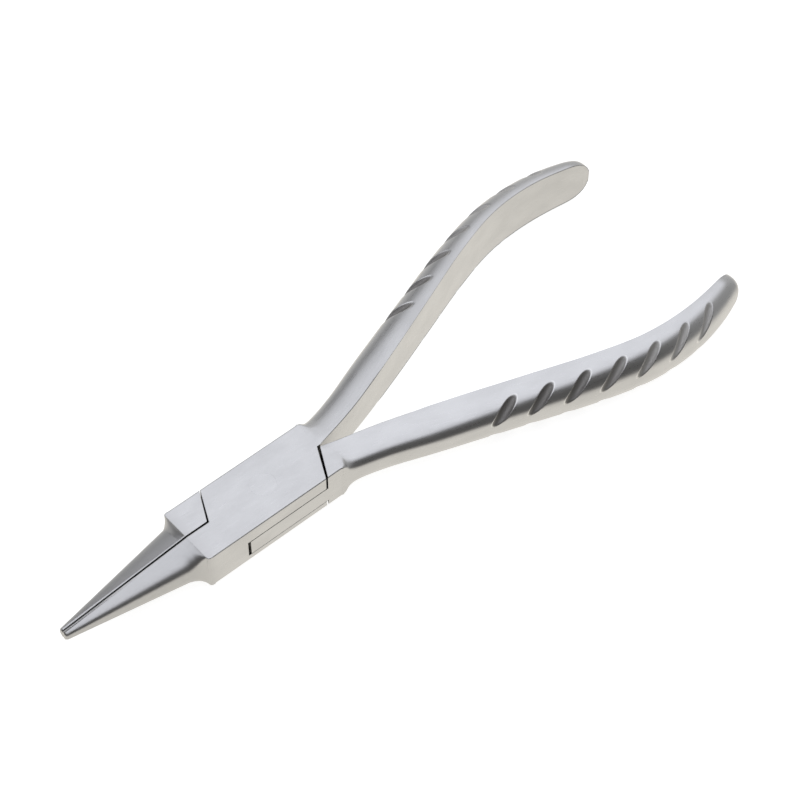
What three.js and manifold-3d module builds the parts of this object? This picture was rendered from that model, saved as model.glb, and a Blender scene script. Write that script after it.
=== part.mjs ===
// Box-joint pliers with smooth half-round jaws and fluted bow handles.
//
// Millimetres, +Z up. +X runs from the jaw tips to the handle ends. The jaws are closed.
// Two steel halves cross at the pivot: the box half is slotted, and the tongue half passes
// through its slot. The box half has the jaw at -Y and the handle at +Y; the tongue half
// has the jaw at +Y and the handle at -Y. A rivet ground flush joins them.
// X below is measured from the pivot axis, Y from the plane where the jaws close, and Z from
// the mid-thickness of the jaws and handles.

import * as THREE from 'three';
import { mergeVertices } from 'three/addons/utils/BufferGeometryUtils.js';
import Module from 'manifold-3d';

const wasm = await Module();
wasm.setup();

// ---- Driving dimensions ----

const TIP_X = -39.6;
const HANDLE_END_X = 90.2;

const BOX_FRONT_X = -14.65;
const BOX_REAR_X = 11.9;
const BOX_HALF_WIDTH = 5.82;
const BOX_TOP_Z = 3.45;
const BOX_BOTTOM_Z = -4.1;
const BOX_TOP_EDGE_RADIUS = 0.25;
const BOX_BOTTOM_EDGE_RADIUS = 0.6;

// The closed jaws are a slender blunt cone that flares into the box in a concave fillet. From
// the gap outwards each jaw's top slopes down by a share of its height, to a rounded corner.
const JAW_TIP_HALF_WIDTH = 0.95;
const JAW_TIP_HALF_HEIGHT = 0.95;
const JAW_BASE_HALF_WIDTH = { near: 4.65, far: 4.85 };
const JAW_BASE_TOP_Z = { near: 3.25, far: 3.0 };
const JAW_BASE_BOTTOM_Z = -3.65;
const JAW_SQUARE_START_X = { near: -18.4, far: -16.6 };
const JAW_SLOPE = { near: 0.22, far: 0.36 };
const JAW_SECTION_POWER = 4;
const JAW_SQUARING_POWER = 1.8;
const TIP_ROUNDING = 0.5;
const TIP_BLUNTNESS = 0.4;
const FRONT_FILLET = 2.2;
const FRONT_CORNER_ROUNDING = 0.9;
const FRONT_CORNER_SHARE = 0.38;

// Slot in the box half, and the tongue that turns in it. The slot lies below the middle of
// the box, so the upper cheek is the thicker one.
const SLOT_TOP_Z = 0.75;
const SLOT_BOTTOM_Z = -2.6;
const TONGUE_TOP_CLEARANCE = 0.14;
const TONGUE_BOTTOM_CLEARANCE = 0.06;
const TONGUE_WEB_LENGTH = 12;
const SLOT_END_RADIUS = 9.8;
const TONGUE_END_RADIUS = 9.36;

// On the flat faces each half ends at a slanting seam, from the middle out to the side.
const FRONT_SEAM = { innerX: -11.05, outerX: -8.2, gap: 0.15 };
const REAR_SEAM = { innerX: 11.4, outerX: 8.3, gap: 0.36 };

// The closed jaws come nearest at the tips.
const JAW_TIP_GAP = 0.16;
const JAW_BASE_GAP = 0.34;

const PIN_RADIUS = 2.25;
const PIN_HOLE_RADIUS = 2.27;
const TONGUE_HOLE_RADIUS = 2.32;

// Handle, station by station: [x, value]. The handle is highest at its flat inner face, slopes
// down outwards by a share of its height, and rounds over to the outer side.
const HANDLE_INNER_Y = [
  [11.4, 0.0], [22, 2.75], [34, 6.95], [46, 11.5], [58, 16.0], [68, 18.75], [78, 19.2], [90.2, 17.4],
];
const HANDLE_WIDTH = [
  [11.4, 5.82], [14, 5.45], [21, 5.5], [30, 5.8], [45, 5.45], [60, 4.95], [75, 4.3], [84, 3.7], [90.2, 2.8],
];
const HANDLE_HALF_HEIGHT = [[11.4, 3.45], [20, 3.4], [40, 4.15], [60, 4.85], [76, 4.95], [90.2, 4.2]];
const HANDLE_POWER = [[14, 3.6], [40, 3.2], [60, 2.7], [90.2, 2.4]];
const HANDLE_SLOPE = [[14, 0.12], [45, 0.14], [65, 0.06], [80, 0]];
const HANDLE_ROUNDNESS = [[11.9, 0], [12.8, 0.14], [14, 0.52], [16, 0.88], [22, 0.93], [30, 1]];
const HANDLE_TURN_LENGTH = 4;
const HANDLE_UNDERSIDE_RISE_LENGTH = 5;
const HANDLE_END_HEIGHT_ROUNDING = 5;
const HANDLE_END_WIDTH_ROUNDING = 2.2;
const HANDLE_END_POWER = 2.4;
const HANDLE_END_BLUNTNESS = 0.03;

// Oblique flutes, one row on the upper and one on the lower shoulder of each handle.
const FLUTE_COUNT = 7;
const FLUTE_FIRST_X = 41.3;
const FLUTE_PITCH_X = 6.23;
const FLUTE_CUTTER_RADIUS = 0.95;
const FLUTE_CUTTER_LENGTH = 14;
const FLUTE_DEPTH = 0.8;
const FLUTE_LEAN = THREE.MathUtils.degToRad(44);
const FLUTE_UPPER_ANGLE = { near: THREE.MathUtils.degToRad(35), far: THREE.MathUtils.degToRad(42) };
const FLUTE_LOWER_ANGLE = THREE.MathUtils.degToRad(58);

// ---- Facets ----

const CORNER_STEPS = 8;
const ROUND_SEGMENTS = 48;
const CUTTER_SEGMENTS = 14;
const RING_COUNTS = { tip: 4, cone: 4, fillet: 6, frontCorner: 2, handleRoot: 7, handle: 26, handleEnd: 8 };
const HANDLE_ROOT_END_X = 16;

// ---- Construction allowances ----

// The two sides of the blank overlap in the middle. Each ring stands clear of the middle height
// by SIDE_SPLIT. Cutting slabs reach past the blank on every side.
const OVERLAP = 0.4;
const SIDE_SPLIT = 0.01;
const REACH = 150;
const CUT_REACH_Y = 1;
const CUT_REACH_Z = 20;
const SMALL_STEP_X = 0.05;
const SMALL_ANGLE = 0.02;
const MERGE_DISTANCE = 1e-5;

// ---- Helpers ----

const { lerp, clamp, smoothstep } = THREE.MathUtils;

// A smooth function through the stations: cubic Hermite pieces with averaged slopes.
function smoothThrough(stations) {
  const last = stations.length - 1;
  const slope = (i) => {
    const [x0, y0] = stations[Math.max(i - 1, 0)];
    const [x1, y1] = stations[Math.min(i + 1, last)];
    return (y1 - y0) / (x1 - x0);
  };
  return (x) => {
    if (x <= stations[0][0]) return stations[0][1];
    if (x >= stations[last][0]) return stations[last][1];
    const i = stations.findIndex(([stationX]) => stationX > x) - 1;
    const [x0, y0] = stations[i];
    const [x1, y1] = stations[i + 1];
    const span = x1 - x0;
    const t = (x - x0) / span;
    const rise = t * t * (3 - 2 * t);
    const startPull = t * (1 - t) * (1 - t) * span * slope(i);
    const endPull = t * t * (t - 1) * span * slope(i + 1);
    return lerp(y0, y1, rise) + startPull + endPull;
  };
}

// How far a quarter round has risen after t of its run: 0 at t = 0, 1 at t = 1.
const concaveQuarter = (t) => 1 - Math.sqrt(1 - clamp(t, 0, 1) ** 2);
const convexQuarter = (t) => Math.sqrt(1 - (1 - clamp(t, 0, 1)) ** 2);

function toManifold(geometry) {
  geometry.deleteAttribute('normal');
  geometry.deleteAttribute('uv');
  const merged = mergeVertices(geometry, MERGE_DISTANCE);
  const mesh = new wasm.Mesh({
    numProp: 3,
    vertProperties: new Float32Array(merged.attributes.position.array),
    triVerts: new Uint32Array(merged.index.array),
  });
  return new wasm.Manifold(mesh);
}

function toGeometry(solid) {
  const mesh = solid.getMesh();
  const geometry = new THREE.BufferGeometry();
  geometry.setAttribute('position', new THREE.BufferAttribute(mesh.vertProperties, 3));
  geometry.setIndex(new THREE.BufferAttribute(mesh.triVerts, 1));
  geometry.computeVertexNormals();
  return geometry;
}

// A closed skin over rings of equal point count. Each ring is convex, so its cap is a fan.
function loft(rings, inwardWinding) {
  const size = rings[0].length;
  const indices = [];
  const triangle = (a, b, c) => indices.push(...(inwardWinding ? [a, c, b] : [a, b, c]));
  for (let ring = 0; ring < rings.length - 1; ring++) {
    for (let i = 0; i < size; i++) {
      const a = ring * size + i;
      const b = ring * size + ((i + 1) % size);
      triangle(a, b, b + size);
      triangle(a, b + size, a + size);
    }
  }
  const lastRing = (rings.length - 1) * size;
  for (let i = 1; i < size - 1; i++) {
    triangle(0, i + 1, i);
    triangle(lastRing, lastRing + i, lastRing + i + 1);
  }
  const geometry = new THREE.BufferGeometry().setFromPoints(rings.flat());
  geometry.setIndex(indices);
  return geometry;
}

// A plan outline carried from lowZ to highZ.
function slab(outline, lowZ, highZ) {
  const shape = new THREE.Shape(outline.map(([x, y]) => new THREE.Vector2(x, y)));
  const geometry = new THREE.ExtrudeGeometry(shape, { depth: highZ - lowZ, bevelEnabled: false });
  geometry.translate(0, 0, lowZ);
  return toManifold(geometry);
}

function disc(radius, lowZ, highZ) {
  const geometry = new THREE.CylinderGeometry(radius, radius, highZ - lowZ, ROUND_SEGMENTS);
  geometry.rotateX(Math.PI / 2);
  geometry.translate(0, 0, (lowZ + highZ) / 2);
  return toManifold(geometry);
}

// ---- The blank: both halves' outer form, one loft to each side of the middle ----

const handleInnerY = smoothThrough(HANDLE_INNER_Y);
const handleWidth = smoothThrough(HANDLE_WIDTH);
const handleHalfHeight = smoothThrough(HANDLE_HALF_HEIGHT);
const handlePower = smoothThrough(HANDLE_POWER);
const handleSlope = smoothThrough(HANDLE_SLOPE);
const handleRoundness = smoothThrough(HANDLE_ROUNDNESS);

const filletStartX = BOX_FRONT_X - FRONT_FILLET;
const filletEndX = BOX_FRONT_X - FRONT_CORNER_ROUNDING;

// The section at x: its width from the inner face, its heights above and below the middle,
// how round it is (0 a box, 1 a half ellipse), the power of its corners, and its slope.
function jawSection(x, side) {
  const along = (x - TIP_X) / (filletStartX - TIP_X);
  const tip = convexQuarter((x - TIP_X) / TIP_ROUNDING + TIP_BLUNTNESS);
  const coneWidth = lerp(JAW_TIP_HALF_WIDTH, JAW_BASE_HALF_WIDTH[side], along) * tip;
  const coneTop = lerp(JAW_TIP_HALF_HEIGHT, JAW_BASE_TOP_Z[side], along) * tip;
  const coneBottom = lerp(JAW_TIP_HALF_HEIGHT, -JAW_BASE_BOTTOM_Z, along) * tip;
  const flare = clamp((x - filletStartX) / (filletEndX - filletStartX), 0, 1);
  const corner = convexQuarter((x - filletEndX) / FRONT_CORNER_ROUNDING);
  const rise = lerp(concaveQuarter(flare), corner, FRONT_CORNER_SHARE);
  const squareStart = JAW_SQUARE_START_X[side];
  const squareness = clamp((x - squareStart) / (filletEndX - squareStart), 0, 1);
  return {
    width: lerp(coneWidth, BOX_HALF_WIDTH, rise),
    top: lerp(coneTop, BOX_TOP_Z, concaveQuarter(flare)),
    bottom: lerp(coneBottom, -BOX_BOTTOM_Z, rise),
    roundness: 1 - squareness ** JAW_SQUARING_POWER,
    power: JAW_SECTION_POWER,
    slope: JAW_SLOPE[side] * (1 - squareness),
  };
}

function endFactor(x, rounding) {
  const toEnd = clamp((x - (HANDLE_END_X - rounding)) / rounding, 0, 1 - HANDLE_END_BLUNTNESS);
  return (1 - toEnd ** HANDLE_END_POWER) ** (1 / HANDLE_END_POWER);
}

function handleSection(x) {
  const roundness = handleRoundness(x);
  const rise = smoothstep(x, BOX_REAR_X, BOX_REAR_X + HANDLE_UNDERSIDE_RISE_LENGTH);
  const halfHeight = handleHalfHeight(x);
  const end = endFactor(x, HANDLE_END_HEIGHT_ROUNDING);
  return {
    width: handleWidth(x) * endFactor(x, HANDLE_END_WIDTH_ROUNDING),
    top: halfHeight * end,
    bottom: lerp(-BOX_BOTTOM_Z, halfHeight, rise) * end,
    roundness,
    power: lerp(2, handlePower(x), roundness),
    slope: handleSlope(x) * roundness,
  };
}

// The half's jaw or handle on the -Y side is the near one.
const sideName = (side) => (side < 0 ? 'near' : 'far');

function sectionAt(x, side) {
  if (x < BOX_FRONT_X) return jawSection(x, side);
  if (x > BOX_REAR_X) return handleSection(x);
  return {
    width: BOX_HALF_WIDTH,
    top: BOX_TOP_Z,
    bottom: -BOX_BOTTOM_Z,
    roundness: 0,
    power: 2,
    slope: 0,
  };
}

// A point of the section's outer corner: angle 0 faces out, 90 degrees faces up or down.
function cornerPoint(section, fullHeight, angle, edgeRadius) {
  const { width, roundness, power, slope } = section;
  const across = lerp(edgeRadius, width, roundness);
  const upright = lerp(edgeRadius, fullHeight, roundness);
  const out = width - across + across * Math.cos(angle) ** (2 / power);
  const height = fullHeight - upright + upright * Math.sin(angle) ** (2 / power);
  return { out, height: height * (1 - (slope * out) / width) };
}

// Where the inner face lies at x, and the directions along the half and outwards from it.
function innerFrame(x) {
  if (x < HANDLE_INNER_Y[0][0]) {
    return { y: -OVERLAP, along: new THREE.Vector2(1, 0), out: new THREE.Vector2(0, 1), lap: OVERLAP };
  }
  const slope = (handleInnerY(x + SMALL_STEP_X) - handleInnerY(x)) / SMALL_STEP_X;
  const start = HANDLE_INNER_Y[0][0];
  const turn = Math.atan(slope) * smoothstep(x, start, start + HANDLE_TURN_LENGTH);
  const along = new THREE.Vector2(Math.cos(turn), Math.sin(turn));
  return { y: handleInnerY(x), along, out: new THREE.Vector2(-along.y, along.x), lap: 0 };
}

function ringAt(x, side) {
  const section = sectionAt(x, sideName(side));
  const frame = innerFrame(x);
  const place = (out, z) => {
    const reach = out + frame.lap;
    return new THREE.Vector3(x + frame.out.x * reach, side * (frame.y + frame.out.y * reach), z);
  };
  // From the inner face over the top and round the corner, to the middle of the outer side.
  const quarter = (fullHeight, edgeRadius) => {
    const points = [{ out: -frame.lap, height: fullHeight }];
    for (let i = 0; i <= CORNER_STEPS; i++) {
      points.push(cornerPoint(section, fullHeight, (Math.PI / 2) * (1 - i / CORNER_STEPS), edgeRadius));
    }
    return points;
  };
  const lower = quarter(section.bottom, BOX_BOTTOM_EDGE_RADIUS);
  const upper = quarter(section.top, BOX_TOP_EDGE_RADIUS).reverse();
  return [
    ...lower.map(({ out, height }) => place(out, -Math.max(height, SIDE_SPLIT))),
    ...upper.map(({ out, height }) => place(out, Math.max(height, SIDE_SPLIT))),
  ];
}

// Stations along X from start to end, bunched towards the end when ease is above 1.
function stations(start, end, count, ease = 1) {
  return Array.from({ length: count }, (_, i) => start + (end - start) * (1 - (1 - i / count) ** ease));
}

function blankSide(side) {
  const innerStartX = HANDLE_INNER_Y[0][0];
  const endStartX = HANDLE_END_X - HANDLE_END_HEIGHT_ROUNDING;
  const xs = [
    ...stations(TIP_X, TIP_X + TIP_ROUNDING, RING_COUNTS.tip),
    ...stations(TIP_X + TIP_ROUNDING, filletStartX, RING_COUNTS.cone),
    ...stations(filletStartX, filletEndX, RING_COUNTS.fillet, 1.6),
    ...stations(filletEndX, BOX_FRONT_X, RING_COUNTS.frontCorner),
    BOX_FRONT_X,
    innerStartX - SMALL_STEP_X,
    innerStartX,
    ...stations(BOX_REAR_X, HANDLE_ROOT_END_X, RING_COUNTS.handleRoot),
    ...stations(HANDLE_ROOT_END_X, endStartX, RING_COUNTS.handle),
    ...stations(endStartX, HANDLE_END_X, RING_COUNTS.handleEnd, 2),
    HANDLE_END_X,
  ];
  return toManifold(loft(xs.map((x) => ringAt(x, side)), side < 0));
}

// ---- Flutes ----

function fluteCutter(x, side, level) {
  const section = sectionAt(x);
  const angle = level > 0 ? FLUTE_UPPER_ANGLE[sideName(side)] : FLUTE_LOWER_ANGLE;
  const frame = innerFrame(x);
  const here = cornerPoint(section, section.top, angle, 0);
  const next = cornerPoint(section, section.top, angle + SMALL_ANGLE, 0);
  const out = new THREE.Vector3(frame.out.x, frame.out.y, 0);
  const along = new THREE.Vector3(frame.along.x, frame.along.y, 0);
  const up = new THREE.Vector3(0, 0, 1);
  const rising = out.clone().multiplyScalar(next.out - here.out);
  rising.addScaledVector(up, next.height - here.height).normalize();
  const normal = new THREE.Vector3().crossVectors(rising, along).normalize();
  if (normal.dot(out) < 0) normal.negate();

  const axis = rising.multiplyScalar(Math.cos(FLUTE_LEAN)).addScaledVector(along, Math.sin(FLUTE_LEAN));
  const centre = new THREE.Vector3(x, frame.y, 0);
  centre.addScaledVector(out, here.out).addScaledVector(up, here.height);
  centre.addScaledVector(normal, FLUTE_CUTTER_RADIUS - FLUTE_DEPTH);

  const geometry = new THREE.CylinderGeometry(
    FLUTE_CUTTER_RADIUS, FLUTE_CUTTER_RADIUS, FLUTE_CUTTER_LENGTH, CUTTER_SEGMENTS,
  );
  geometry.applyQuaternion(new THREE.Quaternion().setFromUnitVectors(new THREE.Vector3(0, 1, 0), axis));
  geometry.translate(centre.x, centre.y, centre.z);
  const cutter = toManifold(geometry);
  return cutter.scale([1, side, level]);
}

function cutFlutes(half, side) {
  let fluted = half;
  for (let i = 0; i < FLUTE_COUNT; i++) {
    const x = FLUTE_FIRST_X + i * FLUTE_PITCH_X;
    for (const level of [1, -1]) {
      fluted = fluted.subtract(fluteCutter(x, side, level));
    }
  }
  return fluted;
}

// ---- Which part of the blank is the tongue half's ----

// The space of the tongue half. grow is 0 for the tongue half itself, and 1 for the room
// that the box half leaves for it.
function tongueSpace(grow) {
  const halfGap = (gap) => (gap / 2) * (1 - 2 * grow);
  const wide = BOX_HALF_WIDTH + CUT_REACH_Y;
  const seamLine = (seam, away) => {
    const start = seam.innerX + away * seam.gap * (1 - grow);
    const slant = (seam.outerX - seam.innerX) / BOX_HALF_WIDTH;
    return [start, start + slant * wide];
  };
  const [frontInner, frontOuter] = seamLine(FRONT_SEAM, -1);
  const [rearInner, rearOuter] = seamLine(REAR_SEAM, 1);
  const tipSide = halfGap(JAW_TIP_GAP);
  const baseSide = halfGap(JAW_BASE_GAP);
  const front = slab([
    [-REACH, tipSide], [TIP_X, tipSide], [frontInner, baseSide], [frontOuter, wide], [-REACH, wide],
  ], -CUT_REACH_Z, CUT_REACH_Z);
  const rear = slab([
    [rearInner, -baseSide], [rearOuter, -wide], [rearOuter, -REACH], [REACH, -REACH], [REACH, -baseSide],
  ], -CUT_REACH_Z, CUT_REACH_Z);

  const lowZ = SLOT_BOTTOM_Z + TONGUE_BOTTOM_CLEARANCE * (1 - grow);
  const highZ = SLOT_TOP_Z - TONGUE_TOP_CLEARANCE * (1 - grow);
  const round = disc(lerp(TONGUE_END_RADIUS, SLOT_END_RADIUS, grow), lowZ, highZ);
  const frontWeb = slab([
    [-TONGUE_WEB_LENGTH, baseSide], [0, baseSide], [0, wide], [-TONGUE_WEB_LENGTH, wide],
  ], lowZ, highZ);
  const rearWeb = slab([
    [0, -wide], [TONGUE_WEB_LENGTH, -wide], [TONGUE_WEB_LENGTH, -baseSide], [0, -baseSide],
  ], lowZ, highZ);
  return front.add(rear).add(round).add(frontWeb).add(rearWeb);
}

// ---- Pieces ----

const blank = blankSide(1).add(blankSide(-1));

function makeBoxHalf() {
  const half = blank.subtract(tongueSpace(1));
  const bored = half.subtract(disc(PIN_HOLE_RADIUS, -CUT_REACH_Z, CUT_REACH_Z));
  return toGeometry(cutFlutes(bored, 1));
}

function makeTongueHalf() {
  const half = blank.intersect(tongueSpace(0));
  const bored = half.subtract(disc(TONGUE_HOLE_RADIUS, -CUT_REACH_Z, CUT_REACH_Z));
  return toGeometry(cutFlutes(bored, -1));
}

function makePivotPin() {
  return toGeometry(disc(PIN_RADIUS, BOX_BOTTOM_Z, BOX_TOP_Z));
}

const steel = (color, roughness) => new THREE.MeshStandardMaterial({ color, roughness, metalness: 1 });

function piece(name, geometry, material) {
  const mesh = new THREE.Mesh(geometry, material);
  mesh.name = name;
  return mesh;
}

const pliers = new THREE.Group();
pliers.add(piece('box_half', makeBoxHalf(), steel(0xc6c8cb, 0.34)));
pliers.add(piece('tongue_half', makeTongueHalf(), steel(0xc2c4c7, 0.34)));
pliers.add(piece('pivot_pin', makePivotPin(), steel(0xcacccf, 0.3)));

// The origin is the middle of the whole tool's footprint.
const extent = new THREE.Box3().setFromObject(pliers);
const middle = extent.getCenter(new THREE.Vector3());
pliers.position.set(-middle.x, -middle.y, -extent.min.z);

export default pliers;
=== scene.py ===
"""Box-joint pliers in satin brushed steel, lying closed on a white studio table.

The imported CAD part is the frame. Each of its three solids is replaced by a fine mesh of the
same shape, cut from the same blank: lofted jaws, box and handles, the slot and its tongue,
the seams, and rounded oblique flutes milled into the shoulders of the handles.

Shapes are worked out in millimetres from the pivot axis: X runs from the jaw tips to the
handle ends, Y from the plane where the jaws close, Z from the middle of the jaws' height.
"""

import math

import bmesh
import bpy
import numpy as np
from mathutils import Matrix, Vector


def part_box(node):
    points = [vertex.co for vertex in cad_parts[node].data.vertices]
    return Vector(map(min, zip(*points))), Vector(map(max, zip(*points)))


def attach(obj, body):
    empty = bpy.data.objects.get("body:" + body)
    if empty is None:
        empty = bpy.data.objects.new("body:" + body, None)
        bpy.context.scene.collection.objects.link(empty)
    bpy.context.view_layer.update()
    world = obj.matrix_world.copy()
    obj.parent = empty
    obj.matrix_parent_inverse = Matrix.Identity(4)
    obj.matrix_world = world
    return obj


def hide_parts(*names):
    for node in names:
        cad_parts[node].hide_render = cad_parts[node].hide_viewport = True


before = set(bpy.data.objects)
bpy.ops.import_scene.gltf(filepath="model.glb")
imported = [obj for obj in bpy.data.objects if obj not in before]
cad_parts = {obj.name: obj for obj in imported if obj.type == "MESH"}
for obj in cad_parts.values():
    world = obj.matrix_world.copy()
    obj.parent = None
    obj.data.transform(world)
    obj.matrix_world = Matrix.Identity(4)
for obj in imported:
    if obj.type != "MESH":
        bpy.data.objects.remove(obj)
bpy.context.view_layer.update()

MM = 0.001

# ---- Driving dimensions, in millimetres ----

BOX_TOP_Z = 3.45
BOX_BOTTOM_Z = -4.1
BOX_FRONT_X = -14.65
BOX_REAR_X = 11.9
BOX_HALF_WIDTH = 5.82
BOX_TOP_EDGE_RADIUS = 0.25
BOX_BOTTOM_EDGE_RADIUS = 0.6

# The pivot pin stands on the box's two flat faces, so it gives the pivot's place.
pin_low, pin_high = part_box("pivot_pin")
half_low, half_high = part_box("box_half")
PIVOT = Vector((
    (pin_low.x + pin_high.x) / 2,
    (pin_low.y + pin_high.y) / 2,
    pin_low.z - BOX_BOTTOM_Z * MM,
))
PIN_RADIUS = (pin_high.x - pin_low.x) / 2 / MM
TIP_X = (half_low.x - PIVOT.x) / MM
HANDLE_END_X = (half_high.x - PIVOT.x) / MM

JAW_TIP_HALF_WIDTH = 0.95
JAW_TIP_HALF_HEIGHT = 0.95
JAW_BASE_HALF_WIDTH = {"near": 4.65, "far": 4.85}
JAW_BASE_TOP_Z = {"near": 3.25, "far": 3.0}
JAW_BASE_BOTTOM_Z = -3.65
JAW_SQUARE_START_X = {"near": -18.4, "far": -16.6}
JAW_SLOPE = {"near": 0.22, "far": 0.36}
JAW_SECTION_POWER = 4
JAW_SQUARING_POWER = 1.8
TIP_ROUNDING = 0.5
TIP_BLUNTNESS = 0.4
FRONT_FILLET = 2.2
FRONT_CORNER_ROUNDING = 0.9
FRONT_CORNER_SHARE = 0.38
FILLET_START_X = BOX_FRONT_X - FRONT_FILLET
FILLET_END_X = BOX_FRONT_X - FRONT_CORNER_ROUNDING

SLOT_TOP_Z = 0.75
SLOT_BOTTOM_Z = -2.6
TONGUE_TOP_CLEARANCE = 0.14
TONGUE_BOTTOM_CLEARANCE = 0.06
TONGUE_WEB_LENGTH = 12
SLOT_END_RADIUS = 9.8
TONGUE_END_RADIUS = 9.36
FRONT_SEAM = {"inner_x": -11.05, "outer_x": -8.2, "gap": 0.15}
REAR_SEAM = {"inner_x": 11.4, "outer_x": 8.3, "gap": 0.36}
JAW_TIP_GAP = 0.16
JAW_BASE_GAP = 0.34
PIN_FIT = 0.004
TONGUE_HOLE_RADIUS = 2.32

# Handle, station by station: (x, value).
HANDLE_START_X = 11.4
HANDLE_INNER_Y = (
    (HANDLE_START_X, 0), (22, 2.75), (34, 6.95), (46, 11.5),
    (58, 16), (68, 18.75), (78, 19.2), (90.2, 17.4),
)
HANDLE_WIDTH = (
    (HANDLE_START_X, 5.82), (14, 5.45), (21, 5.5), (30, 5.8), (45, 5.45),
    (60, 4.95), (75, 4.3), (84, 3.7), (90.2, 2.8),
)
HANDLE_HALF_HEIGHT = ((HANDLE_START_X, 3.45), (20, 3.4), (40, 4.15), (60, 4.85), (76, 4.95), (90.2, 4.2))
HANDLE_POWER = ((14, 3.6), (40, 3.2), (60, 2.7), (90.2, 2.4))
HANDLE_SLOPE = ((14, 0.12), (45, 0.14), (65, 0.06), (80, 0))
HANDLE_ROUNDNESS = ((11.9, 0), (12.8, 0.14), (14, 0.52), (16, 0.88), (22, 0.93), (30, 1))
HANDLE_TURN_LENGTH = 4.0
HANDLE_UNDERSIDE_RISE_LENGTH = 5
HANDLE_END_HEIGHT_ROUNDING = 5
HANDLE_END_WIDTH_ROUNDING = 2.2
HANDLE_END_POWER = 2.4
HANDLE_END_BLUNTNESS = 0.03
HANDLE_INNER_EDGE_RADIUS = 0.22
SHARP_EDGE_RADIUS = 0.01
EDGE_RADIUS_WIDTH_SHARE = 0.2
EDGE_RADIUS_FADE_HEIGHT = 0.5

FLUTE_COUNT = 7
FLUTE_FIRST_X = 41.3
FLUTE_PITCH_X = 6.23
FLUTE_CUTTER_RADIUS = 0.95
FLUTE_DEPTH = 0.8
FLUTE_LEAN = math.radians(44)
FLUTE_UPPER_ANGLE = {"near": math.radians(35), "far": math.radians(42)}
FLUTE_LOWER_ANGLE = math.radians(58)
FLUTE_RIM_ROUNDING = 0.14

# The two sides of the blank overlap at the middle, and no point lies nearer than this to its level.
OVERLAP = 0.4
SIDE_SPLIT = 0.01

# How far the cutters reach past the steel.
REACH = 150
CUT_REACH_Y = 1
CUT_REACH_Z = 20

# The small steps over which slopes are measured.
SMALL_STEP_X = 0.05
SMALL_ANGLE = 0.02


# ---- Curves ----

def lerp(a, b, t):
    return a + (b - a) * t


def smoothstep(t):
    t = np.clip(t, 0, 1)
    return t * t * (3 - 2 * t)


def smooth_through(stations):
    """A smooth function through the stations: cubic Hermite pieces with averaged slopes."""
    xs, ys = np.array(stations, float).T
    last = len(xs) - 1
    before = np.maximum(np.arange(last + 1) - 1, 0)
    after = np.minimum(np.arange(last + 1) + 1, last)
    slopes = (ys[after] - ys[before]) / (xs[after] - xs[before])

    def value(x):
        x = np.clip(x, xs[0], xs[-1])
        i = np.clip(np.searchsorted(xs, x, side="right") - 1, 0, last - 1)
        span = xs[i + 1] - xs[i]
        t = (x - xs[i]) / span
        pulls = t * (1 - t) ** 2 * slopes[i] + t * t * (t - 1) * slopes[i + 1]
        return lerp(ys[i], ys[i + 1], smoothstep(t)) + span * pulls

    return value


def concave_quarter(t):
    return 1 - np.sqrt(1 - np.clip(t, 0, 1) ** 2)


def convex_quarter(t):
    return np.sqrt(1 - (1 - np.clip(t, 0, 1)) ** 2)


handle_inner_y = smooth_through(HANDLE_INNER_Y)
handle_width = smooth_through(HANDLE_WIDTH)
handle_half_height = smooth_through(HANDLE_HALF_HEIGHT)
handle_power = smooth_through(HANDLE_POWER)
handle_slope = smooth_through(HANDLE_SLOPE)
handle_roundness = smooth_through(HANDLE_ROUNDNESS)


# ---- Sections ----
#
# A section has a width outwards from the inner face, and heights above and below the middle.
# Roundness 0 gives a box with small edges, and 1 a superellipse quarter of the given power.
# Slope is the share of the height that is lost from the inner face to the outer side.

def jaw_section(x, side):
    """A tapering cone with a blunt tip, which flares over a fillet into the box."""
    along = (x - TIP_X) / (FILLET_START_X - TIP_X)
    tip = convex_quarter((x - TIP_X) / TIP_ROUNDING + TIP_BLUNTNESS)
    cone_width = lerp(JAW_TIP_HALF_WIDTH, JAW_BASE_HALF_WIDTH[side], along) * tip
    cone_top = lerp(JAW_TIP_HALF_HEIGHT, JAW_BASE_TOP_Z[side], along) * tip
    cone_bottom = lerp(JAW_TIP_HALF_HEIGHT, -JAW_BASE_BOTTOM_Z, along) * tip
    flare = np.clip((x - FILLET_START_X) / (FILLET_END_X - FILLET_START_X), 0, 1)
    corner = convex_quarter((x - FILLET_END_X) / FRONT_CORNER_ROUNDING)
    rise = lerp(concave_quarter(flare), corner, FRONT_CORNER_SHARE)
    square_start = JAW_SQUARE_START_X[side]
    squareness = np.clip((x - square_start) / (FILLET_END_X - square_start), 0, 1)
    return {
        "width": lerp(cone_width, BOX_HALF_WIDTH, rise),
        "top": lerp(cone_top, BOX_TOP_Z, concave_quarter(flare)),
        "bottom": lerp(cone_bottom, -BOX_BOTTOM_Z, rise),
        "roundness": 1 - squareness**JAW_SQUARING_POWER,
        "power": np.full_like(x, JAW_SECTION_POWER),
        "slope": JAW_SLOPE[side] * (1 - squareness),
    }


def end_factor(x, rounding):
    """1 along the handle, falling over the last stretch so that the handle's end is rounded."""
    to_end = np.clip((x - (HANDLE_END_X - rounding)) / rounding, 0, 1 - HANDLE_END_BLUNTNESS)
    return (1 - to_end**HANDLE_END_POWER) ** (1 / HANDLE_END_POWER)


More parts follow.
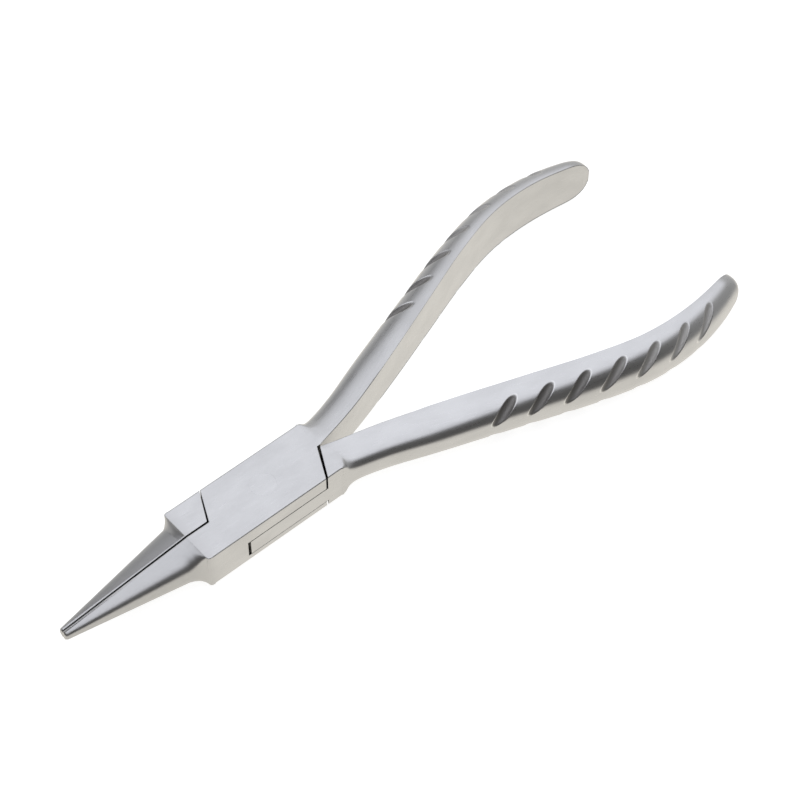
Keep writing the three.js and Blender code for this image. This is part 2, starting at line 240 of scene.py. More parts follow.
def handle_section(x):
    """A bowed handle, which leaves the box square and turns round over its root."""
    roundness = handle_roundness(x)
    rise = smoothstep((x - BOX_REAR_X) / HANDLE_UNDERSIDE_RISE_LENGTH)
    half_height = handle_half_height(x)
    end = end_factor(x, HANDLE_END_HEIGHT_ROUNDING)
    return {
        "width": handle_width(x) * end_factor(x, HANDLE_END_WIDTH_ROUNDING),
        "top": half_height * end,
        "bottom": lerp(-BOX_BOTTOM_Z, half_height, rise) * end,
        "roundness": roundness,
        "power": lerp(2, handle_power(x), roundness),
        "slope": handle_slope(x) * roundness,
    }


def box_section(x):
    flat = np.zeros_like(x)
    return {
        "width": flat + BOX_HALF_WIDTH,
        "top": flat + BOX_TOP_Z,
        "bottom": flat - BOX_BOTTOM_Z,
        "roundness": flat,
        "power": flat + 2.0,
        "slope": flat,
    }


def section_at(x, side="far"):
    """The section at each x, as a dict of arrays: jaw, box or handle. Side says which jaw."""
    jaw = jaw_section(np.minimum(x, BOX_FRONT_X), side)
    box = box_section(x)
    handle = handle_section(x)
    return {
        key: np.where(x < BOX_FRONT_X, jaw[key], np.where(x > BOX_REAR_X, handle[key], box[key]))
        for key in box
    }


def corner_point(section, full_height, angle, edge_radius):
    """A point of the section's outer corner: angle 0 faces out, 90 degrees faces up."""
    across = lerp(edge_radius, section["width"], section["roundness"])
    upright = lerp(edge_radius, full_height, section["roundness"])
    out = section["width"] - across + across * np.cos(angle) ** (2 / section["power"])
    height = full_height - upright + upright * np.sin(angle) ** (2 / section["power"])
    return out, height * (1 - section["slope"] * out / section["width"])


def inner_frame(x):
    """The inner face at x: its y, and the unit direction outwards from it in plan."""
    ahead = handle_inner_y(x + SMALL_STEP_X)
    behind = handle_inner_y(x - SMALL_STEP_X)
    slope = (ahead - behind) / (2 * SMALL_STEP_X)
    turn = np.arctan(slope) * smoothstep((x - HANDLE_START_X) / HANDLE_TURN_LENGTH)
    return handle_inner_y(x), -np.sin(turn), np.cos(turn)


# ---- The loft grid ----

# Points round a quarter of a section, and round a disc.
INNER_EDGE_STEPS = 4
FLAT_STEPS = 4
CORNER_STEPS = 46
ROUND_SEGMENTS = 160

# The lead that lets the grid lines run along the flutes: where it is measured, how far round the
# section it grows, and where it sets in and fades.
LEAD_SAMPLE_X = 60.0
LEAD_REACH = 6.0
LEAD_START_X = 24
LEAD_START_LENGTH = 12
LEAD_END_X = 78

# The rings: how many each stretch has, and how they bunch up.
HANDLE_ROOT_END_X = 16
RING_COUNTS = {
    "tip": 14,
    "jaw": 30,
    "fillet": 36,
    "front_corner": 10,
    "handle_root": 46,
    "flute": 44,
    "behind_flutes": 24,
    "handle_end": 44,
}
FILLET_BUNCHING = 1.6
HANDLE_END_BUNCHING = 2
FLUTE_RING_MARGIN = 0.2
RING_SPACING = 0.3
RING_STEP = 1e-3


def quarter_ring(x, key, edge_radius, side="far"):
    """(out, height) columns from the inner face along the top and round the outer corner."""
    section = section_at(x, side)
    full_height = section[key]
    handle = x >= HANDLE_START_X
    inner_out = np.where(handle, 0.0, -OVERLAP)
    soft = smoothstep((x - HANDLE_START_X) / HANDLE_TURN_LENGTH)
    height_share = full_height / (full_height + EDGE_RADIUS_FADE_HEIGHT)
    radius = SHARP_EDGE_RADIUS + HANDLE_INNER_EDGE_RADIUS * soft * height_share
    radius = np.minimum(radius, section["width"] * EDGE_RADIUS_WIDTH_SHARE)
    columns = []
    for i in range(INNER_EDGE_STEPS):
        turn = math.pi / 2 * i / INNER_EDGE_STEPS
        out = inner_out + radius * (1 - math.cos(turn))
        columns.append((out, full_height - radius * (1 - math.sin(turn))))
    flat_end, _ = corner_point(section, full_height, math.pi / 2, edge_radius)
    for i in range(FLAT_STEPS):
        out = lerp(inner_out + radius, flat_end, i / FLAT_STEPS)
        columns.append((out, full_height * (1 - section["slope"] * out / section["width"])))
    for i in range(CORNER_STEPS + 1):
        angle = math.pi / 2 * (1 - i / CORNER_STEPS)
        columns.append(corner_point(section, full_height, angle, edge_radius))
    return columns


def chevron_lead():
    """How far each ring point leads in x, so that the grid lines run along the flutes."""
    x = np.array([LEAD_SAMPLE_X])
    columns = quarter_ring(x, "top", BOX_TOP_EDGE_RADIUS)
    outline = np.array([(out[0], height[0]) for out, height in columns])
    steps = np.linalg.norm(np.diff(outline, axis=0), axis=1)
    arc_from_side = np.append(np.cumsum(steps[::-1])[::-1], 0)
    return np.minimum(arc_from_side, LEAD_REACH) * math.tan(FLUTE_LEAN)


LEAD = chevron_lead()


def lead_share(x):
    """How much of the lead the rings take at x: none in front of the flutes and at the ends."""
    rise = smoothstep((x - LEAD_START_X) / LEAD_START_LENGTH)
    fall = smoothstep((x - LEAD_END_X) / (HANDLE_END_X - LEAD_END_X))
    return rise * (1 - fall)


def spread(start, end, count, ease=1.0):
    """Stations from start up to, not including, end; bunched towards the end when ease is over 1."""
    return list(start + (end - start) * (1 - (1 - np.arange(count) / count) ** ease))


def flute_lead(side):
    """The lead of the ring point where that side's flutes are centred."""
    share = 1 - FLUTE_UPPER_ANGLE[side] / (math.pi / 2)
    return LEAD[INNER_EDGE_STEPS + FLAT_STEPS + round(CORNER_STEPS * share)]


def loft_stations(side):
    """The x of every ring of one side's blank: close together round the flutes and rounded ends."""
    end_start = HANDLE_END_X - HANDLE_END_HEIGHT_ROUNDING
    stations = spread(TIP_X, TIP_X + TIP_ROUNDING, RING_COUNTS["tip"])
    stations += spread(TIP_X + TIP_ROUNDING, FILLET_START_X, RING_COUNTS["jaw"])
    stations += spread(FILLET_START_X, FILLET_END_X, RING_COUNTS["fillet"], FILLET_BUNCHING)
    stations += spread(FILLET_END_X, BOX_FRONT_X, RING_COUNTS["front_corner"])
    stations += [BOX_FRONT_X, HANDLE_START_X - RING_STEP]
    stations += spread(HANDLE_START_X, HANDLE_ROOT_END_X, RING_COUNTS["handle_root"])
    flute_reach = FLUTE_CUTTER_RADIUS / math.cos(FLUTE_LEAN) + FLUTE_RING_MARGIN
    place = HANDLE_ROOT_END_X
    for i in range(FLUTE_COUNT):
        centre = FLUTE_FIRST_X + i * FLUTE_PITCH_X - flute_lead(side)
        gap = centre - flute_reach - place
        stations += spread(place, centre - flute_reach, max(round(gap / RING_SPACING), 2))
        stations += spread(centre - flute_reach, centre + flute_reach, RING_COUNTS["flute"])
        place = centre + flute_reach
    stations += spread(place, end_start, RING_COUNTS["behind_flutes"])
    stations += spread(end_start, HANDLE_END_X, RING_COUNTS["handle_end"], HANDLE_END_BUNCHING)
    return np.array(stations + [HANDLE_END_X])


def side_grid(side):
    """The blank on one side of the middle: rings of points, y positive outwards."""
    stations = loft_stations(side)
    rings = []
    levels = (("bottom", -1, BOX_BOTTOM_EDGE_RADIUS), ("top", 1, BOX_TOP_EDGE_RADIUS))
    for key, sign, edge_radius in levels:
        columns = []
        for column, lead in enumerate(LEAD):
            x = stations + lead_share(stations) * lead
            out, height = quarter_ring(x, key, edge_radius, side)[column]
            y, away_x, away_y = inner_frame(x)
            height = sign * np.maximum(height, SIDE_SPLIT)
            columns.append(np.stack([x + away_x * out, y + away_y * out, height], axis=-1))
        in_turn = columns[::-1] if sign > 0 else columns
        rings.append(np.stack(in_turn, axis=1))
    return np.concatenate(rings, axis=1)


# ---- Solids ----

def make_object(name, points, faces, material):
    mesh = bpy.data.meshes.new(name)
    mesh.from_pydata([tuple(point) for point in points], [], faces)
    mesh.update()
    mesh.materials.append(material)
    made = bpy.data.objects.new(name, mesh)
    bpy.context.scene.collection.objects.link(made)
    return made


def grid_object(name, grid, mirrored, material):
    """A closed skin over the grid's rings, with a flat cap at each end."""
    rings, size = grid.shape[:2]
    points = grid.reshape(-1, 3) * (1, -1 if mirrored else 1, 1)
    faces = []
    for ring in range(rings - 1):
        for i in range(size):
            a = ring * size + i
            b = ring * size + (i + 1) % size
            faces.append((a, b, b + size, a + size))
    faces.append(tuple(reversed(range(size))))
    faces.append(tuple(range((rings - 1) * size, rings * size)))
    if mirrored:
        faces = [tuple(reversed(face)) for face in faces]
    return make_object(name, points, faces, material)


def slab(name, outline, low_z, high_z, material):
    """A plan outline, counter-clockwise, carried from low_z to high_z."""
    count = len(outline)
    points = [(x, y, z) for z in (low_z, high_z) for x, y in outline]
    faces = [tuple(reversed(range(count))), tuple(range(count, 2 * count))]
    for i in range(count):
        j = (i + 1) % count
        faces.append((i, j, j + count, i + count))
    return make_object(name, points, faces, material)


def disc(name, radius, low_z, high_z, material):
    turns = [2 * math.pi * i / ROUND_SEGMENTS for i in range(ROUND_SEGMENTS)]
    outline = [(radius * math.cos(turn), radius * math.sin(turn)) for turn in turns]
    return slab(name, outline, low_z, high_z, material)


def combine(target, cutters, operation):
    """Joins or cuts target with each cutter in turn, and removes the cutters.

    Cut faces keep the cutter's material.
    """
    for cutter in cutters:
        modifier = target.modifiers.new("cut", "BOOLEAN")
        modifier.operation = operation
        modifier.solver = "MANIFOLD"
        modifier.material_mode = "TRANSFER"
        modifier.object = cutter
        evaluated = target.evaluated_get(bpy.context.evaluated_depsgraph_get())
        mesh = bpy.data.meshes.new_from_object(evaluated)
        target.modifiers.clear()
        target.data = mesh
        bpy.data.objects.remove(cutter)
    return target


def tongue_space(grow, material):
    """The space of the tongue half (grow 0), or the room that the box half leaves for it (grow 1)."""
    wide = BOX_HALF_WIDTH + CUT_REACH_Y

    def seam_line(seam, away):
        start = seam["inner_x"] + away * seam["gap"] * (1 - grow)
        slant = (seam["outer_x"] - seam["inner_x"]) / BOX_HALF_WIDTH
        return start, start + slant * wide

    front_inner, front_outer = seam_line(FRONT_SEAM, -1)
    rear_inner, rear_outer = seam_line(REAR_SEAM, 1)
    tip_side = JAW_TIP_GAP / 2 * (1 - 2 * grow)
    base_side = JAW_BASE_GAP / 2 * (1 - 2 * grow)
    low_z = SLOT_BOTTOM_Z + TONGUE_BOTTOM_CLEARANCE * (1 - grow)
    high_z = SLOT_TOP_Z - TONGUE_TOP_CLEARANCE * (1 - grow)
    front = [
        (-REACH, tip_side), (TIP_X, tip_side), (front_inner, base_side),
        (front_outer, wide), (-REACH, wide),
    ]
    rear = [
        (rear_inner, -base_side), (rear_outer, -wide), (rear_outer, -REACH),
        (REACH, -REACH), (REACH, -base_side),
    ]
    front_web = [
        (-TONGUE_WEB_LENGTH, base_side), (0, base_side), (0, wide), (-TONGUE_WEB_LENGTH, wide),
    ]
    rear_web = [
        (0, -wide), (TONGUE_WEB_LENGTH, -wide), (TONGUE_WEB_LENGTH, -base_side), (0, -base_side),
    ]
    space = slab("space", front, -CUT_REACH_Z, CUT_REACH_Z, material)
    others = [
        slab("rear", rear, -CUT_REACH_Z, CUT_REACH_Z, material),
        disc("round", lerp(TONGUE_END_RADIUS, SLOT_END_RADIUS, grow), low_z, high_z, material),
        slab("front_web", front_web, low_z, high_z, material),
        slab("rear_web", rear_web, low_z, high_z, material),
    ]
    return combine(space, others, "UNION")


def make_blank(material):
    """The whole closed tool as one solid, without flutes. Each half is cut from it."""
    far = grid_object("blank", side_grid("far"), False, material)
    near = grid_object("near", side_grid("near"), True, material)
    return combine(far, [near], "UNION")


# ---- Flutes, milled by a round cutter with a rounded rim ----

# The search for each point's depth, and the stretch of skin that a flute can touch.
CUT_SEARCH_DEPTH = 1.5
CUT_SEARCH_STEPS = 26
FLUTE_HALF_LENGTH = 7
SKIN_BELOW_CUTTER = 1.6
SKIN_ABOVE_CUTTER = 0.1


def flute_frame(x, angle):
    """The cutter's place on the shoulder at x: a point, its axis, and the way out of the steel."""
    at = np.array([x])
    section = section_at(at)
    y, away_x, away_y = (value[0] for value in inner_frame(at))
    here_out, here_height = corner_point(section, section["top"], angle, 0)
    next_out, next_height = corner_point(section, section["top"], angle + SMALL_ANGLE, 0)
    out = np.array([away_x, away_y, 0])
    along = np.array([away_y, -away_x, 0])
    up = np.array([0, 0, 1.0])
    rising = out * (next_out[0] - here_out[0]) + up * (next_height[0] - here_height[0])
    rising /= np.linalg.norm(rising)
    normal = np.cross(rising, along)
    normal *= math.copysign(1, normal @ out)
    axis = rising * math.cos(FLUTE_LEAN) + along * math.sin(FLUTE_LEAN)
    centre = np.array([x, y, 0]) + out * here_out[0] + up * here_height[0]
    return centre, axis, normal


def cut_depth(height, across):
    """How far a surface point sinks: the steel's skin and the cutter, blended over the rim."""
    cutter_height = FLUTE_CUTTER_RADIUS - FLUTE_DEPTH
    low = height - CUT_SEARCH_DEPTH
    high = height.copy()
    for _ in range(CUT_SEARCH_STEPS):
        middle = (low + high) / 2
        skin = middle - height
        cutter = FLUTE_CUTTER_RADIUS - np.hypot(across, middle - cutter_height)
        near_rim = np.maximum(FLUTE_RIM_ROUNDING - np.abs(skin - cutter), 0)
        blend = near_rim**2 / (4 * FLUTE_RIM_ROUNDING)
        outside = np.maximum(skin, cutter) + blend > 0
        high = np.where(outside, middle, high)
        low = np.where(outside, low, middle)
    return height - high


def mill_flutes(points, side):
    """Sinks the flutes into the handle on one side: 1 far, -1 near.

    Returns each point's depth in a flute.
    """
    upper_angle = FLUTE_UPPER_ANGLE["far" if side > 0 else "near"]
    depths = np.zeros(len(points))
    for i in range(FLUTE_COUNT):
        for level, angle in ((1, upper_angle), (-1, FLUTE_LOWER_ANGLE)):
            centre, axis, normal = flute_frame(FLUTE_FIRST_X + i * FLUTE_PITCH_X, angle)
            across = np.cross(normal, axis)
            mirror = np.array([1, side, level])
            offset = points * mirror - centre
            height = offset @ normal
            aside = offset @ across
            near = np.abs(aside) < FLUTE_CUTTER_RADIUS + FLUTE_RIM_ROUNDING
            near &= np.abs(offset @ axis) < FLUTE_HALF_LENGTH
            near &= (height > -SKIN_BELOW_CUTTER) & (height < SKIN_ABOVE_CUTTER)
            sunk = cut_depth(height[near], aside[near])
            points[near] -= sunk[:, None] * normal * mirror
            depths[near] = np.maximum(depths[near], sunk)
    return depths


# ---- Finishing a half ----

SHARP_ANGLE = math.radians(32)
MERGE_DISTANCE = 1e-4
FLAT_FACE_WEIGHT = 80

# Steps towards the station that a point is beside, each covering this share of the way left.
STRAIGHTENING_STEPS = 12
STRAIGHTENING_SHARE = 0.8


def mark_sharp_edges(made):
    """Merges doubled points, and shades the mesh smooth except over its sharp edges."""
    work = bmesh.new()
    work.from_mesh(made.data)
    bmesh.ops.remove_doubles(work, verts=work.verts, dist=MERGE_DISTANCE)
    bmesh.ops.dissolve_degenerate(work, dist=MERGE_DISTANCE, edges=work.edges)
    for face in work.faces:
        face.smooth = True
    for edge in work.edges:
        edge.smooth = len(edge.link_faces) == 2 and edge.calc_face_angle(0) < SHARP_ANGLE
    work.to_mesh(made.data)
    work.free()


def grain_coordinates(points):
    """Straightened coordinates in millimetres, so that the brushed grain follows the handles."""
    sides = np.where(points[:, 1] < 0, -1.0, 1.0)
    station = points[:, 0].copy()
    for _ in range(STRAIGHTENING_STEPS):
        y, away_x, away_y = inner_frame(station)
        ahead = (points[:, 0] - station) * away_y - (sides * points[:, 1] - y) * away_x
        station += STRAIGHTENING_SHARE * ahead
    y, away_x, away_y = inner_frame(station)
    out = (points[:, 0] - station) * away_x + (sides * points[:, 1] - y) * away_y
    return np.stack([station, sides * out, points[:, 2]], axis=-1)


def store(mesh, name, kind, values):
    attribute = mesh.attributes.new(name, kind, "POINT")
    field = "vector" if kind == "FLOAT_VECTOR" else "value"
    attribute.data.foreach_set(field, values.astype(np.float32).ravel())


def keep_joint_steel_inside(mesh, outer, inner):
    """Cut faces have the inner material. Where the jaws meet, they get the outer one instead."""
    kept = [
        mesh.materials[face.material_index] == inner and face.center.x > BOX_FRONT_X
        for face in mesh.polygons
    ]
    mesh.materials.clear()
    mesh.materials.append(outer)
    mesh.materials.append(inner)
    mesh.polygons.foreach_set("material_index", np.array(kept, np.int32))


def finish_piece(made, name, flute_side, body, materials):
    """Flutes the handle, stores the grain, moves the piece to its place, and hands it to its body."""
    made.name = name
    mark_sharp_edges(made)
    mesh = made.data
    keep_joint_steel_inside(mesh, *materials)
    points = np.zeros(len(mesh.vertices) * 3, np.float32)
    mesh.vertices.foreach_get("co", points)
    points = points.reshape(-1, 3).astype(float)
    grain = grain_coordinates(points)
    depths = mill_flutes(points, flute_side) if flute_side else np.zeros(len(points))
    store(mesh, "grain", "FLOAT_VECTOR", grain)
    store(mesh, "flute", "FLOAT", depths)
    placed = points * MM + np.array(PIVOT)
    mesh.vertices.foreach_set("co", placed.astype(np.float32).ravel())
    mesh.update()
    weighted = made.modifiers.new("flat_faces_stay_flat", "WEIGHTED_NORMAL")
    weighted.keep_sharp = True
    weighted.weight = FLAT_FACE_WEIGHT
    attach(made, body)
    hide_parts(body if flute_side else "pivot_pin")


# ---- Shader nodes ----

def grey(value):
    return value, value, value, 1.0


def node(tree, kind, inputs=None, **settings):
    """A new shader node. An input is linked when it is a socket, and set when it is a value."""
    made = tree.nodes.new(kind)
    for key, value in settings.items():
        setattr(made, key, value)
    for key, value in (inputs or {}).items():
        if isinstance(value, bpy.types.NodeSocket):
            tree.links.new(value, made.inputs[key])
        else:
            made.inputs[key].default_value = value
    return made


def math_node(tree, operation, first, second=0.0, clamp=False):
    inputs = {0: first, 1: second}
    return node(tree, "ShaderNodeMath", inputs, operation=operation, use_clamp=clamp).outputs[0]


def add(tree, first, second):
    return math_node(tree, "ADD", first, second)


def multiply(tree, first, second):
    return math_node(tree, "MULTIPLY", first, second)


def vector_math(tree, operation, *vectors):
    """The result of a vector operation: a number for a length or a dot product, else a vector."""
    made = node(tree, "ShaderNodeVectorMath", dict(enumerate(vectors)), operation=operation)
    return made.outputs["Value" if operation in ("LENGTH", "DOT_PRODUCT") else "Vector"]


def remap(tree, value, from_low, from_high, to_low, to_high):
    inputs = {
        "Value": value,
        "From Min": from_low,
        "From Max": from_high,
        "To Min": to_low,
        "To Max": to_high,
    }
    return node(tree, "ShaderNodeMapRange", inputs).outputs["Result"]


def soft_step(tree, value, start, end):
    """0 at start, 1 at end, and smooth between them. End may be the lower one."""
    inputs = {"Value": value, "From Min": start, "From Max": end}
    made = node(tree, "ShaderNodeMapRange", inputs, interpolation_type="SMOOTHSTEP")
    return made.outputs["Result"]


def noise(tree, vector, scale, detail, roughness):
    """Noise over the grain coordinates. Scale is the features in a millimetre of X, Y and Z."""
    stretched = node(tree, "ShaderNodeMapping", {"Vector": vector, "Scale": scale}).outputs["Vector"]
    inputs = {"Vector": stretched, "Scale": 1.0, "Detail": detail, "Roughness": roughness}
    return node(tree, "ShaderNodeTexNoise", inputs).outputs["Fac"]


def mix_colour(tree, factor, first, second):
    made = node(tree, "ShaderNodeMix", data_type="RGBA")
    for socket, value in (("Factor_Float", factor), ("A_Color", first), ("B_Color", second)):
        target = next(s for s in made.inputs if s.identifier == socket)
        if isinstance(value, bpy.types.NodeSocket):
            tree.links.new(value, target)
        else:
            target.default_value = value
    return next(s for s in made.outputs if s.identifier == "Result_Color")


def new_metal(name):
    """A metallic material, its node tree, its shader, and the grain coordinates."""
    material = bpy.data.materials.new(name)
    material.use_nodes = True
    tree = material.node_tree
    shader = tree.nodes["Principled BSDF"]
    shader.inputs["Metallic"].default_value = 1.0
    grain = node(tree, "ShaderNodeAttribute", attribute_name="grain").outputs["Vector"]
    return material, tree, shader, grain


# ---- Materials ----

STEEL_NOISES = {
    "fine": {"scale": (0.35, 7.0, 7.0), "detail": 4.0, "roughness": 0.6},
    "cross": {"scale": (2.4, 2.0, 2.4), "detail": 5.0, "roughness": 0.65},
    "mottle": {"scale": (0.16, 0.3, 0.3), "detail": 3.0, "roughness": 0.5},
    "marks": {"scale": (5.5, 5.5, 0.8), "detail": 4.0, "roughness": 0.7},
}
JAW_TONE = grey(0.49)
# Worn edges take this lighter tone, and so does the painted highlight along the flute rims.
WORN_AND_RIM_HIGHLIGHT_TONE = (0.68, 0.68, 0.67, 1.0)
# Flute tones: darker in front, for the matte milled finish and for painted shade, and lighter towards
# the handle ends as painted light.
FRONT_FLUTE_MILLED_AND_PAINTED_SHADE_TONE = (0.33, 0.32, 0.31, 1.0)
REAR_FLUTE_PAINTED_LIGHT_TONE = (0.7, 0.69, 0.67, 1.0)
OILED_TONE = (0.035, 0.033, 0.03, 1.0)
RUBBED_TONE = (0.17, 0.165, 0.16, 1.0)

# Where one finish fades into the next, by station along the tool: (start, end).
JAW_FADE_X = (-13, -18)
CRISP_EDGE_FADE_X = (13, 20)
# Along the flutes, the painted shade gives way to painted light towards the handle ends.
FLUTE_SHADE_TO_LIGHT_FADE_X = (50, 74)

# Depths in a flute, in millimetres: the milled finish sets in, and the painted highlight along the rim
# comes and goes.
MILLED_FADE = (0.03, 0.16)
RIM_HIGHLIGHT_IN_FADE = (0.0, 0.02)
RIM_HIGHLIGHT_OUT_FADE = (0.1, 0.04)

# The shaded radius of worn edges, and the grain's relief, in metres.
EDGE_SOFTNESS = 0.00018
EDGE_SAMPLES = 6
WORN_FADE = (0.99, 0.85)
GROUND_FLUSH_FADE = (1.2, 0.6)
RELIEF_DEPTH = 0.00002


def softened_normal(tree, grain, station):
    """The normal over softened edges, and how far it agrees with the plain one.

    It stays plain round the pin, which is ground flush, and along the handles' crisp edges.
    """
    softened = node(tree, "ShaderNodeBevel", {"Radius": EDGE_SOFTNESS}, samples=EDGE_SAMPLES)
    plain = node(tree, "ShaderNodeNewGeometry").outputs["Normal"]
    from_pivot = vector_math(tree, "LENGTH", vector_math(tree, "MULTIPLY", grain, (1, 1, 0)))
    start, end = (PIN_RADIUS + margin for margin in GROUND_FLUSH_FADE)
    ground_flush = soft_step(tree, from_pivot, start, end)
    crisp = math_node(tree, "MAXIMUM", ground_flush, soft_step(tree, station, *CRISP_EDGE_FADE_X))
    normal = mix_colour(tree, crisp, softened.outputs["Normal"], plain)
    return normal, vector_math(tree, "DOT_PRODUCT", normal, plain)


def brushed_steel(name, bright, dull, roughness):
    """Satin steel: fine grain along the tool, faint mottling, worn edges, and matte flutes with painted
    shade in front, painted light towards the ends and painted highlights along their rims.
    """
    material, tree, shader, grain = new_metal(name)
    layers = {key: noise(tree, grain, **layer) for key, layer in STEEL_NOISES.items()}
    station = node(tree, "ShaderNodeSeparateXYZ", {"Vector": grain}).outputs["X"]
    flute = node(tree, "ShaderNodeAttribute", attribute_name="flute").outputs["Fac"]
    normal, agreement = softened_normal(tree, grain, station)

    # Where each finish lies, and where the painted highlight along the flute rims lies.
    milled = remap(tree, flute, *MILLED_FADE, 0.0, 1.0)
    jaws = soft_step(tree, station, *JAW_FADE_X)
    # A painted highlight along each flute's rim, added to the worn edges below.
    rim_in = soft_step(tree, flute, *RIM_HIGHLIGHT_IN_FADE)
    rim = multiply(tree, rim_in, soft_step(tree, flute, *RIM_HIGHLIGHT_OUT_FADE))
    wear_and_rim_highlight = math_node(tree, "ADD", soft_step(tree, agreement, *WORN_FADE), rim, clamp=True)
    wear_and_rim_highlight = multiply(tree, wear_and_rim_highlight, remap(tree, layers["cross"], 0.35, 0.6, 0.35, 1.0))

    # Colour.
    mottled = remap(tree, layers["mottle"], 0.35, 0.65, 0.0, 1.0)
    tone = mix_colour(tree, mottled, bright, dull)
    tone = mix_colour(tree, jaws, tone, JAW_TONE)
    tone = mix_colour(tree, wear_and_rim_highlight, tone, WORN_AND_RIM_HIGHLIGHT_TONE)
    # The flutes take a painted tone: painted shade in front, together with the darker milled finish, and
    # painted light towards the ends.
    flute_painted_light_share = soft_step(tree, station, *FLUTE_SHADE_TO_LIGHT_FADE_X)
    flute_milled_and_painted_tone = mix_colour(tree, flute_painted_light_share, FRONT_FLUTE_MILLED_AND_PAINTED_SHADE_TONE, REAR_FLUTE_PAINTED_LIGHT_TONE)
    colour = mix_colour(tree, milled, tone, flute_milled_and_painted_tone)
    tree.links.new(colour, shader.inputs["Base Color"])

    # Roughness.
    satin = remap(tree, layers["fine"], 0.3, 0.7, roughness - 0.04, roughness + 0.05)
    satin = add(tree, satin, remap(tree, layers["cross"], 0.3, 0.7, -0.02, 0.02))
    satin = add(tree, satin, multiply(tree, jaws, 0.08))
    satin = math_node(tree, "SUBTRACT", satin, multiply(tree, wear_and_rim_highlight, 0.06))
    matte = multiply(tree, milled, 0.24)
    satin = math_node(tree, "ADD", satin, matte, clamp=True)
    tree.links.new(satin, shader.inputs["Roughness"])

    # Relief: the grain everywhere, and the cutter's marks in the flutes.
    relief = multiply(tree, layers["fine"], 0.5)
    relief = add(tree, relief, multiply(tree, layers["cross"], 0.5))
    cutter_marks = multiply(tree, layers["marks"], milled)
    relief = add(tree, relief, multiply(tree, cutter_marks, 6.0))
    inputs = {"Height": relief, "Strength": 0.35, "Distance": RELIEF_DEPTH, "Normal": normal}
    bump = node(tree, "ShaderNodeBump", inputs)
    tree.links.new(bump.outputs["Normal"], shader.inputs["Normal"])
    return material


def joint_steel():
    """The unpolished faces inside the joint: dark, oily and uneven."""
    material, tree, shader, grain = new_metal("joint_steel")
    stains = noise(tree, grain, (0.9, 0.9, 0.9), 5.0, 0.6)
    scratches = noise(tree, grain, (1.2, 9.0, 9.0), 3.0, 0.6)
    rubbed = soft_step(tree, stains, 0.42, 0.72)
    colour = mix_colour(tree, rubbed, OILED_TONE, RUBBED_TONE)
    tree.links.new(colour, shader.inputs["Base Color"])
    tree.links.new(remap(tree, stains, 0.3, 0.7, 0.36, 0.55), shader.inputs["Roughness"])
    inputs = {"Height": scratches, "Strength": 0.4, "Distance": RELIEF_DEPTH}
    bump = node(tree, "ShaderNodeBump", inputs)
    tree.links.new(bump.outputs["Normal"], shader.inputs["Normal"])
    return material


def table_material():
    """A white light table: it reflects, and it glows a little, so that it leaves almost no shadow."""
    material = bpy.data.materials.new("table")
    material.use_nodes = True
    shader = material.node_tree.nodes["Principled BSDF"]
    shader.inputs["Base Color"].default_value = grey(0.45)
    shader.inputs["Roughness"].default_value = 0.7
    shader.inputs["Emission Color"].default_value = grey(1.0)
    shader.inputs["Emission Strength"].default_value = 0.85
    return material


# ---- Studio ----

CAMERA_AZIMUTH = math.radians(-41.6)
CAMERA_ELEVATION = math.radians(51.06)
CAMERA_ROLL = math.radians(0.275)
CAMERA_DISTANCE = 0.35971
CAMERA_LENS = 97.25
CAMERA_CLIP_START = 0.01
CAMERA_TARGET = Vector((0.00426, 0.00049, 0.00525))

TABLE_HALF_SIZE = 3.0

CEILING = (1.26, 1.28, 1.36, 1)
TABLE_GLOW = (1.08, 1.04, 0.96, 1)
NEAR_WALLS = (0.13, 0.127, 0.125, 1)
RIGHT_WALLS = grey(0.42)
FAR_WALLS = (0.2, 0.2, 0.205, 1)
FAR_RIGHT_WALLS = grey(0.62)
BACKDROP = grey(0.68)
PALE_BACKGROUND = grey(0.95)

FAR_AZIMUTH = math.radians(75)
CEILING_LEAN = (0.2, 0.1, 1)
TABLE_FAR_RISE = 0.2

# Where one part of the room fades into the next, by how far a unit direction points: (start, end).
CEILING_FADE = (0.64, 0.9)
TABLE_FADE = (-0.28, -0.6)
BACKDROP_FADE = (0.5, 0.12)
FAR_FADE = (-0.3, 0.8)
RIGHT_FADE = (0.25, 0.85)
FAR_RIGHT_FADE = (0.28, 0.5)


def place_camera():
    data = bpy.data.cameras.new("camera")
    data.lens = CAMERA_LENS
    data.clip_start = CAMERA_CLIP_START
    camera = bpy.data.objects.new("camera", data)
    bpy.context.scene.collection.objects.link(camera)
    flat = math.cos(CAMERA_ELEVATION)
    back = Vector((
        math.sin(CAMERA_AZIMUTH) * flat,
        -math.cos(CAMERA_AZIMUTH) * flat,
        math.sin(CAMERA_ELEVATION),
    ))
    right = Vector((math.cos(CAMERA_AZIMUTH), math.sin(CAMERA_AZIMUTH), 0))
    upright = Matrix((right, back.cross(right), back)).transposed().to_4x4()
    roll = Matrix.Rotation(CAMERA_ROLL, 4, "Z")
    place = Matrix.Translation(CAMERA_TARGET + back * CAMERA_DISTANCE)
    camera.matrix_world = place @ upright @ roll
    bpy.context.scene.camera = camera


def lay_table():
    """The table is left out of the steel's reflections: the room's glow below stands in for it."""
    corners = [(-1, -1), (1, -1), (1, 1), (-1, 1)]
    points = [(x * TABLE_HALF_SIZE, y * TABLE_HALF_SIZE, 0) for x, y in corners]
    table = make_object("table", points, [(0, 1, 2, 3)], table_material())
    table.visible_glossy = False


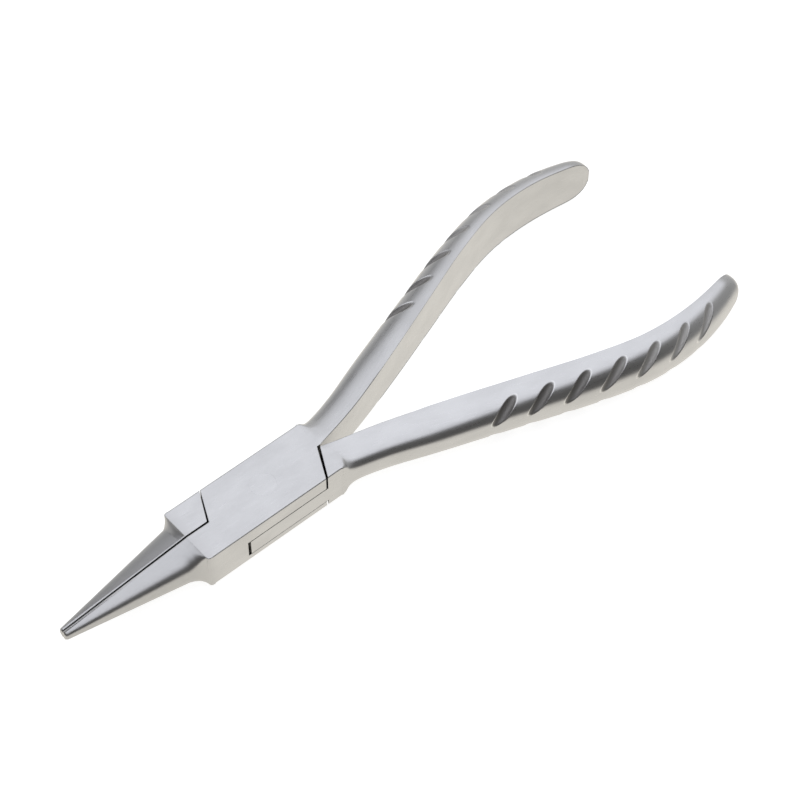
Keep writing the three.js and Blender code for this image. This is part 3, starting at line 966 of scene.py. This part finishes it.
def light_room():
    """A soft dome: a cool ceiling, dark walls that are paler behind the pliers, and a warm table."""
    world = bpy.data.worlds.new("studio")
    bpy.context.scene.world = world
    world.use_nodes = True
    tree = world.node_tree
    direction = node(tree, "ShaderNodeTexCoord").outputs["Generated"]
    height = node(tree, "ShaderNodeSeparateXYZ", {"Vector": direction}).outputs["Z"]
    level = vector_math(tree, "MULTIPLY", direction, (1, 1, 0))
    heading = vector_math(tree, "NORMALIZE", level)
    to_far = (math.cos(FAR_AZIMUTH), math.sin(FAR_AZIMUTH), 0)
    far = soft_step(tree, vector_math(tree, "DOT_PRODUCT", heading, to_far), *FAR_FADE)
    right = vector_math(tree, "DOT_PRODUCT", heading, (1, 0, 0))
    leaning_height = vector_math(tree, "DOT_PRODUCT", direction, CEILING_LEAN)
    ceiling = soft_step(tree, leaning_height, *CEILING_FADE)
    table_height = math_node(tree, "SUBTRACT", height, multiply(tree, far, TABLE_FAR_RISE))
    table = soft_step(tree, table_height, *TABLE_FADE)

    near_side = mix_colour(tree, soft_step(tree, right, *RIGHT_FADE), NEAR_WALLS, RIGHT_WALLS)
    far_right = soft_step(tree, right, *FAR_RIGHT_FADE)
    far_side = mix_colour(tree, far_right, FAR_WALLS, FAR_RIGHT_WALLS)
    far_side = mix_colour(tree, soft_step(tree, height, *BACKDROP_FADE), far_side, BACKDROP)
    light = mix_colour(tree, far, near_side, far_side)
    light = mix_colour(tree, table, light, TABLE_GLOW)
    light = mix_colour(tree, ceiling, light, CEILING)
    seen = node(tree, "ShaderNodeLightPath").outputs["Is Camera Ray"]
    shown = mix_colour(tree, seen, light, PALE_BACKGROUND)
    tree.links.new(shown, tree.nodes["Background"].inputs["Color"])
    bpy.context.scene.view_settings.view_transform = "Standard"


# ---- The scene ----

place_camera()
light_room()
lay_table()

steel = brushed_steel("brushed_steel", bright=grey(0.57), dull=grey(0.53), roughness=0.3)
ground = brushed_steel("ground_pin", bright=grey(0.575), dull=grey(0.535), roughness=0.29)
inside = joint_steel()

box_half = combine(make_blank(steel), [tongue_space(1, inside)], "DIFFERENCE")
pin_hole = disc("hole", PIN_RADIUS + PIN_FIT, -CUT_REACH_Z, CUT_REACH_Z, inside)
box_half = combine(box_half, [pin_hole], "DIFFERENCE")
finish_piece(box_half, "box_half_steel", 1, "box_half", (steel, inside))

tongue_half = combine(make_blank(steel), [tongue_space(0, inside)], "INTERSECT")
tongue_hole = disc("hole", TONGUE_HOLE_RADIUS, -CUT_REACH_Z, CUT_REACH_Z, inside)
tongue_half = combine(tongue_half, [tongue_hole], "DIFFERENCE")
finish_piece(tongue_half, "tongue_half_steel", -1, "tongue_half", (steel, inside))

pin = disc("pivot_pin_steel", PIN_RADIUS, BOX_BOTTOM_Z, BOX_TOP_Z, ground)
finish_piece(pin, "pivot_pin_steel", 0, "box_half", (ground, inside))
